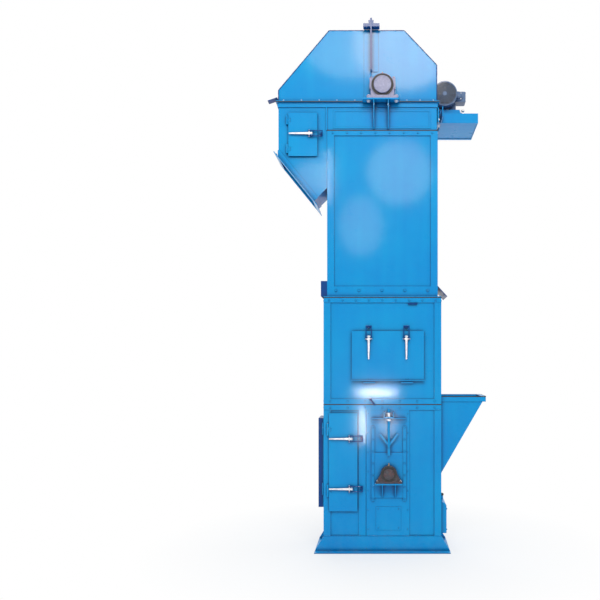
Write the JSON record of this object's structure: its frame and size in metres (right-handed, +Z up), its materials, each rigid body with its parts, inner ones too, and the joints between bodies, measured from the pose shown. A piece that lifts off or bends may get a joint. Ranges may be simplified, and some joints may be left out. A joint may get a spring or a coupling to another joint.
{
  "type": "bucket elevator",
  "caption": "Bucket elevator: steel casing on a base frame with boot, inlet hopper, head, discharge chute, hinged doors with toggle latches, motor drive and bucket belt.",
  "frame": {"origin": "centre of the casing on the ground, on the underside of the boot's floor plate", "axes": "+X to the right along the front towards the inlet hopper, +Y from the front to the back, +Z up"},
  "size_m": [1.9178, 0.9163, 4.768],
  "materials": {
    "blue_paint": "glossy blue paint",
    "bright_steel": "bright zinc",
    "dark_steel": "dark painted",
    "grey_iron": "grey paint",
    "black_iron": "black paint",
    "belt_rubber": "matte black",
    "bucket_steel": "worn steel",
    "motor_paint": "grey-blue paint"
  },
  "bodies": {
    "root": {"base_frame": "blue_paint", "belt": "belt_rubber", "belt_guard": "blue_paint", "boot_back_wall": "blue_paint", "boot_floor": "blue_paint", "boot_front_wall": "blue_paint", "boot_left_wall": "blue_paint", "boot_right_wall": "blue_paint", "buckets": "bucket_steel", "chute_floor": "blue_paint", "chute_outer_wall": "blue_paint", "cleanout_cover": "blue_paint", "corner_angles": "blue_paint", "door_catches": "dark_steel", "drive_platform": "blue_paint", "head_back_wall": "blue_paint", "head_bearing_supports": "blue_paint", "head_bearings": "grey_iron", "head_end_wall": "blue_paint", "head_front_wall": "blue_paint", "head_pulley": "bucket_steel", "head_top_ring": "blue_paint", "hood_left": "blue_paint", "hood_right": "blue_paint", "inlet_hopper": "blue_paint", "joint_band": "blue_paint", "mid_back_wall": "blue_paint", "mid_end_walls": "blue_paint", "mid_front_wall": "blue_paint", "mid_top_ring": "blue_paint", "motor": "motor_paint", "motor_base": "blue_paint", "outlet_flange": "blue_paint", "reducer": "motor_paint", "takeup_plates": "blue_paint", "upper_bottom_ring": "blue_paint", "upper_end_walls": "blue_paint", "upper_face_walls": "blue_paint", "upper_top_ring": "blue_paint"},
    "boot_front_door": {"boot_front_door": "blue_paint"},
    "boot_end_door": {"boot_end_door": "blue_paint"},
    "service_door": {"service_door": "blue_paint"},
    "chute_door": {"chute_door": "blue_paint"},
    "takeup": {"takeup_carriages": "blue_paint", "boot_bearings": "black_iron", "boot_pulley": "bucket_steel"},
    "boot_upper_lever": {"boot_upper_lever": "bright_steel"},
    "boot_upper_bail": {"boot_upper_bail": "dark_steel"},
    "boot_lower_lever": {"boot_lower_lever": "bright_steel"},
    "boot_lower_bail": {"boot_lower_bail": "dark_steel"},
    "end_upper_lever": {"end_upper_lever": "bright_steel"},
    "end_upper_bail": {"end_upper_bail": "dark_steel"},
    "end_lower_lever": {"end_lower_lever": "bright_steel"},
    "end_lower_bail": {"end_lower_bail": "dark_steel"},
    "service_left_lever": {"service_left_lever": "bright_steel"},
    "service_left_bail": {"service_left_bail": "dark_steel"},
    "service_right_lever": {"service_right_lever": "bright_steel"},
    "service_right_bail": {"service_right_bail": "dark_steel"},
    "chute_lever": {"chute_lever": "bright_steel"},
    "chute_bail": {"chute_bail": "dark_steel"}
  },
  "joints": [
    {"name": "boot_front_door_hinge", "type": "hinge", "parent": "root", "child": "boot_front_door", "pos_m": [-0.492, -0.2408, 0.805], "axis": [0, 0, -1], "range_deg": [0, 110]},
    {"name": "boot_end_door_hinge", "type": "hinge", "parent": "root", "child": "boot_end_door", "pos_m": [-0.5408, -0.151, 0.788], "axis": [0, 0, 1], "range_deg": [0, 110]},
    {"name": "service_door_hinge", "type": "hinge", "parent": "root", "child": "service_door", "pos_m": [0.0485, -0.2408, 1.522], "axis": [1, 0, 0], "range_deg": [0, 110]},
    {"name": "chute_door_hinge", "type": "hinge", "parent": "root", "child": "chute_door", "pos_m": [-0.861, -0.2108, 3.76], "axis": [0, 0, -1], "range_deg": [0, 110]},
    {"name": "takeup_slide", "type": "slide", "parent": "root", "child": "takeup", "axis": [0, 0, 1], "range_m": [0, 0.06]},
    {"name": "boot_upper_lever_pivot", "type": "hinge", "parent": "boot_front_door", "child": "boot_upper_lever", "pos_m": [-0.275, -0.2613, 1.017], "axis": [0, 0, 1], "range_deg": [0, 150]},
    {"name": "boot_upper_bail_pivot", "type": "hinge", "parent": "boot_upper_lever", "child": "boot_upper_bail", "pos_m": [-0.297, -0.2613, 1.017], "axis": [0, 0, 1], "range_deg": [-150, 0]},
    {"name": "boot_lower_lever_pivot", "type": "hinge", "parent": "boot_front_door", "child": "boot_lower_lever", "pos_m": [-0.275, -0.2613, 0.567], "axis": [0, 0, 1], "range_deg": [0, 150]},
    {"name": "boot_lower_bail_pivot", "type": "hinge", "parent": "boot_lower_lever", "child": "boot_lower_bail", "pos_m": [-0.297, -0.2613, 0.567], "axis": [0, 0, 1], "range_deg": [-150, 0]},
    {"name": "end_upper_lever_pivot", "type": "hinge", "parent": "boot_end_door", "child": "end_upper_lever", "pos_m": [-0.5613, 0.09, 1.017], "axis": [0, 0, -1], "range_deg": [0, 150]},
    {"name": "end_upper_bail_pivot", "type": "hinge", "parent": "end_upper_lever", "child": "end_upper_bail", "pos_m": [-0.5613, 0.068, 1.017], "axis": [0, 0, -1], "range_deg": [-150, 0]},
    {"name": "end_lower_lever_pivot", "type": "hinge", "parent": "boot_end_door", "child": "end_lower_lever", "pos_m": [-0.5613, 0.09, 0.567], "axis": [0, 0, -1], "range_deg": [0, 150]},
    {"name": "end_lower_bail_pivot", "type": "hinge", "parent": "end_lower_lever", "child": "end_lower_bail", "pos_m": [-0.5613, 0.068, 0.567], "axis": [0, 0, -1], "range_deg": [-150, 0]},
    {"name": "service_left_lever_pivot", "type": "hinge", "parent": "service_door", "child": "service_left_lever", "pos_m": [-0.123, -0.2613, 1.934], "axis": [-1, 0, 0], "range_deg": [0, 150]},
    {"name": "service_left_bail_pivot", "type": "hinge", "parent": "service_left_lever", "child": "service_left_bail", "pos_m": [-0.123, -0.2613, 1.912], "axis": [-1, 0, 0], "range_deg": [-150, 0]},
    {"name": "service_right_lever_pivot", "type": "hinge", "parent": "service_door", "child": "service_right_lever", "pos_m": [0.215, -0.2613, 1.934], "axis": [-1, 0, 0], "range_deg": [0, 150]},
    {"name": "service_right_bail_pivot", "type": "hinge", "parent": "service_right_lever", "child": "service_right_bail", "pos_m": [0.215, -0.2613, 1.912], "axis": [-1, 0, 0], "range_deg": [-150, 0]},
    {"name": "chute_lever_pivot", "type": "hinge", "parent": "chute_door", "child": "chute_lever", "pos_m": [-0.638, -0.2313, 3.764], "axis": [0, 0, 1], "range_deg": [0, 150]},
    {"name": "chute_bail_pivot", "type": "hinge", "parent": "chute_lever", "child": "chute_bail", "pos_m": [-0.66, -0.2313, 3.764], "axis": [0, 0, 1], "range_deg": [-150, 0]}
  ],
  "couplings": [
    {"joint": "boot_upper_bail_pivot", "follows": "boot_upper_lever_pivot", "ratio": -1},
    {"joint": "boot_lower_bail_pivot", "follows": "boot_lower_lever_pivot", "ratio": -1},
    {"joint": "end_upper_bail_pivot", "follows": "end_upper_lever_pivot", "ratio": -1},
    {"joint": "end_lower_bail_pivot", "follows": "end_lower_lever_pivot", "ratio": -1},
    {"joint": "service_left_bail_pivot", "follows": "service_left_lever_pivot", "ratio": -1},
    {"joint": "service_right_bail_pivot", "follows": "service_right_lever_pivot", "ratio": -1},
    {"joint": "chute_bail_pivot", "follows": "chute_lever_pivot", "ratio": -1}
  ]
}
